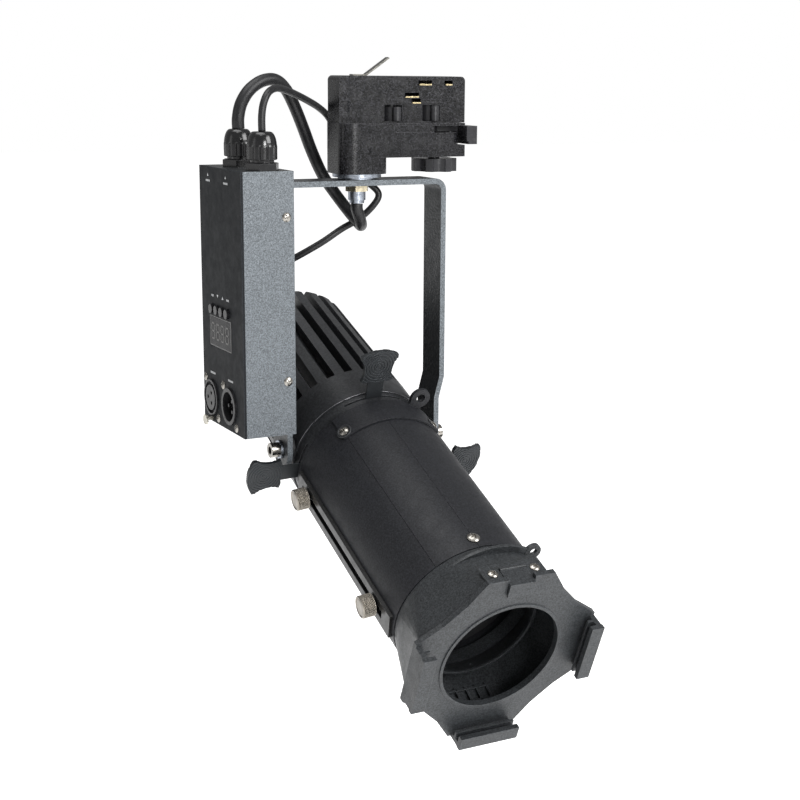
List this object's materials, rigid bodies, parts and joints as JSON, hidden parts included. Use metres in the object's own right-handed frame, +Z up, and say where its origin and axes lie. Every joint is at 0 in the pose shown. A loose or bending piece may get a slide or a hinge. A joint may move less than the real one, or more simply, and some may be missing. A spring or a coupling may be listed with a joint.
{
  "type": "ellipsoidal profile spotlight",
  "caption": "Ellipsoidal profile spotlight with LED heat sink, framing shutters, sliding lenses, colour-frame holder, yoke, driver case and three-circuit track adapter.",
  "frame": {"origin": "on the pan axis, in the shoulder plane of the track adapter that seats against the track", "axes": "+Z up into the track, +X along the adapter's arm, the light leaves towards -Y and down"},
  "size_m": [0.1916, 0.3617, 0.4034],
  "materials": {
    "adapter_black": "fine leather grain moulded in",
    "cam_plastic": "smooth moulded",
    "contact_metal": "bright strip",
    "spring_steel": "bright rolled strip",
    "zinc_steel": "bright zinc plate",
    "brass_nut": "yellow passivated",
    "yoke_paint": "grey hammered paint",
    "panel_paint": "satin black",
    "board_green": "solder resist",
    "display_glass": "dark tinted window",
    "connector_black": "moulded",
    "connector_metal": "nickel plate",
    "button_black": "moulded",
    "cable_jacket": "extruded jacket",
    "sink_black": "black anodised die casting",
    "barrel_paint": "satin blue-black powder coat",
    "gunmetal": "dark nickel",
    "chrome_screw": "plated",
    "blade_black": "heat resistant black",
    "casting_grey": "satin grey casting",
    "optic_glass": "polished",
    "reflector_metal": "polished",
    "led_white": "ceramic board",
    "carriage_black": "moulded"
  },
  "bodies": {
    "adapter": {"adapter_base": "adapter_black", "adapter_track_body": "adapter_black", "earth_spring": "spring_steel", "track_contacts": "contact_metal", "seat_washers": "zinc_steel", "mounting_nipple": "zinc_steel", "nipple_nut": "brass_nut", "cable_ferrule": "zinc_steel"},
    "lever": {"lock_lever": "cam_plastic"},
    "rear_cam": {"rear_cam": "cam_plastic"},
    "selector": {"selector_wheel": "cam_plastic"},
    "yoke": {"yoke_bracket": "yoke_paint", "driver_case": "yoke_paint", "driver_panel": "panel_paint", "case_screws": "chrome_screw", "driver_board": "board_green", "display_module": "display_glass", "xlr_female": "connector_black", "xlr_male": "connector_black", "xlr_screws": "chrome_screw", "gland_power": "connector_black", "gland_led": "connector_black", "power_cable": "cable_jacket", "led_cable": "cable_jacket"},
    "button_1": {"button_1": "button_black"},
    "button_2": {"button_2": "button_black"},
    "button_3": {"button_3": "button_black"},
    "button_4": {"button_4": "button_black"},
    "xlr_latch": {"xlr_latch": "connector_metal"},
    "lamp": {"rear_housing": "sink_black", "lamp_gland": "connector_black", "led_module": "led_white", "reflector": "reflector_metal", "condenser_lens": "optic_glass", "gate_ring": "sink_black", "gate_cover": "barrel_paint", "cover_screws": "chrome_screw", "barrel_left": "barrel_paint", "barrel_right": "barrel_paint", "barrel_screw": "chrome_screw", "focus_rail": "gunmetal", "pivot_bolts": "chrome_screw", "pivot_washers": "zinc_steel", "front_holder": "casting_grey", "clip_plate": "casting_grey", "clip_screws": "chrome_screw"},
    "shutter_top": {"shutter_top": "blade_black"},
    "shutter_right": {"shutter_right": "blade_black"},
    "shutter_bottom": {"shutter_bottom": "blade_black"},
    "shutter_left": {"shutter_left": "blade_black"},
    "rear_focus": {"rear_lens_carriage": "carriage_black", "rear_lens": "optic_glass"},
    "rear_knob": {"rear_thumbscrew": "gunmetal"},
    "front_focus": {"front_lens_carriage": "carriage_black", "front_lens": "optic_glass"},
    "front_knob": {"front_thumbscrew": "gunmetal"},
    "clip": {"frame_clip": "casting_grey"}
  },
  "joints": [
    {"name": "pan", "type": "hinge", "parent": "adapter", "child": "yoke", "pos_m": [0, 0, -0.0365], "axis": [0, 0, 1], "range_deg": [-30, 120]},
    {"name": "tilt", "type": "hinge", "parent": "yoke", "child": "lamp", "pos_m": [0, 0, -0.2135], "axis": [1, 0, 0], "range_deg": [-45, 67], "deforming": ["led_cable"]},
    {"name": "lever_turn", "type": "hinge", "parent": "adapter", "child": "lever", "pos_m": [0.053, 0, 0], "axis": [0, 0, 1], "range_deg": [-90, 0]},
    {"name": "rear_cam_turn", "type": "hinge", "parent": "adapter", "child": "rear_cam", "pos_m": [0.025, 0, 0], "axis": [0, 0, 1], "range_deg": [-90, 0]},
    {"name": "circuit_select", "type": "hinge", "parent": "adapter", "child": "selector", "pos_m": [0.057, 0, 0], "axis": [0, 0, 1], "range_deg": [0, 270]},
    {"name": "button_1_press", "type": "slide", "parent": "yoke", "child": "button_1", "axis": [1, 0, 0], "range_m": [0, 0.0008], "stiffness_N_per_m": 800, "springref_m": -0.001},
    {"name": "button_2_press", "type": "slide", "parent": "yoke", "child": "button_2", "axis": [1, 0, 0], "range_m": [0, 0.0008], "stiffness_N_per_m": 800, "springref_m": -0.001},
    {"name": "button_3_press", "type": "slide", "parent": "yoke", "child": "button_3", "axis": [1, 0, 0], "range_m": [0, 0.0008], "stiffness_N_per_m": 800, "springref_m": -0.001},
    {"name": "button_4_press", "type": "slide", "parent": "yoke", "child": "button_4", "axis": [1, 0, 0], "range_m": [0, 0.0008], "stiffness_N_per_m": 800, "springref_m": -0.001},
    {"name": "latch_press", "type": "slide", "parent": "yoke", "child": "xlr_latch", "axis": [1, 0, 0], "range_m": [0, 0.0015], "stiffness_N_per_m": 800, "springref_m": -0.001},
    {"name": "shutter_top_slide", "type": "slide", "parent": "lamp", "child": "shutter_top", "axis": [-0.0401, -0.3904, 0.9198], "range_m": [-0.011, 0.007]},
    {"name": "shutter_right_slide", "type": "slide", "parent": "lamp", "child": "shutter_right", "axis": [0.989, 0.0578, -0.1361], "range_m": [-0.01, 0.0005]},
    {"name": "shutter_bottom_slide", "type": "slide", "parent": "lamp", "child": "shutter_bottom", "axis": [0.2079, 0.3822, -0.9004], "range_m": [-0.0075, 0.01]},
    {"name": "shutter_left_slide", "type": "slide", "parent": "lamp", "child": "shutter_left", "axis": [-0.9981, 0.0239, -0.0562], "range_m": [-0.0035, 0.007]},
    {"name": "rear_focus_slide", "type": "slide", "parent": "lamp", "child": "rear_focus", "axis": [0, -0.9205, -0.3907], "range_m": [0, 0.04]},
    {"name": "front_focus_slide", "type": "slide", "parent": "lamp", "child": "front_focus", "axis": [0, -0.9205, -0.3907], "range_m": [-0.04, 0]},
    {"name": "rear_knob_turn", "type": "hinge", "parent": "rear_focus", "child": "rear_knob", "pos_m": [-0.05149, -0.03215, -0.23921], "axis": [-0.9903, 0.0544, -0.1281], "range_deg": [0, 720]},
    {"name": "front_knob_turn", "type": "hinge", "parent": "front_focus", "child": "front_knob", "pos_m": [-0.05149, -0.13065, -0.28102], "axis": [-0.9903, 0.0544, -0.1281], "range_deg": [0, 720]},
    {"name": "clip_lift", "type": "hinge", "parent": "lamp", "child": "clip", "pos_m": [0, -0.20734, -0.24314], "axis": [-1, 0, 0], "range_deg": [0, 110], "stiffness_Nm_per_rad": 0.05, "springref_deg": -11.46}
  ],
  "couplings": [
    {"joint": "rear_cam_turn", "follows": "lever_turn", "ratio": 1}
  ]
}
